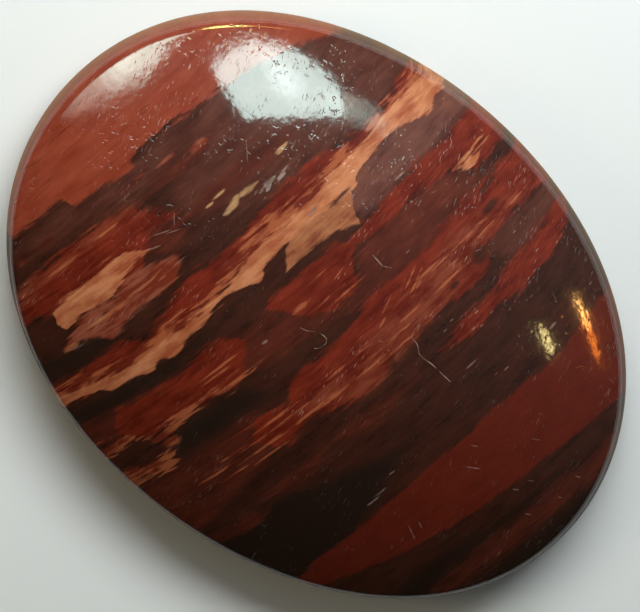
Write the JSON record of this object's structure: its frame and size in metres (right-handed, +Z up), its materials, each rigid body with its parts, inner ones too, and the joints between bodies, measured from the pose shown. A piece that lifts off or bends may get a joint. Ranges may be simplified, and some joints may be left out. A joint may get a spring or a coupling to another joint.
{
  "type": "snakeskin jasper cabochon",
  "caption": "Oval domed jasper stone, polished all over, with a low crown, a narrow steep wall and a shallow belly ending in a flat to rest on.",
  "frame": {"origin": "on the resting surface, under the middle of the stone's box", "axes": "+X along the stone's longest way, +Y along its width, +Z up through the crown"},
  "size_m": [0.04, 0.03, 0.0076],
  "materials": {
    "polished_jasper": "high polish"
  },
  "bodies": {
    "root": {"jasper_stone": "polished_jasper"}
  },
  "joints": []
}
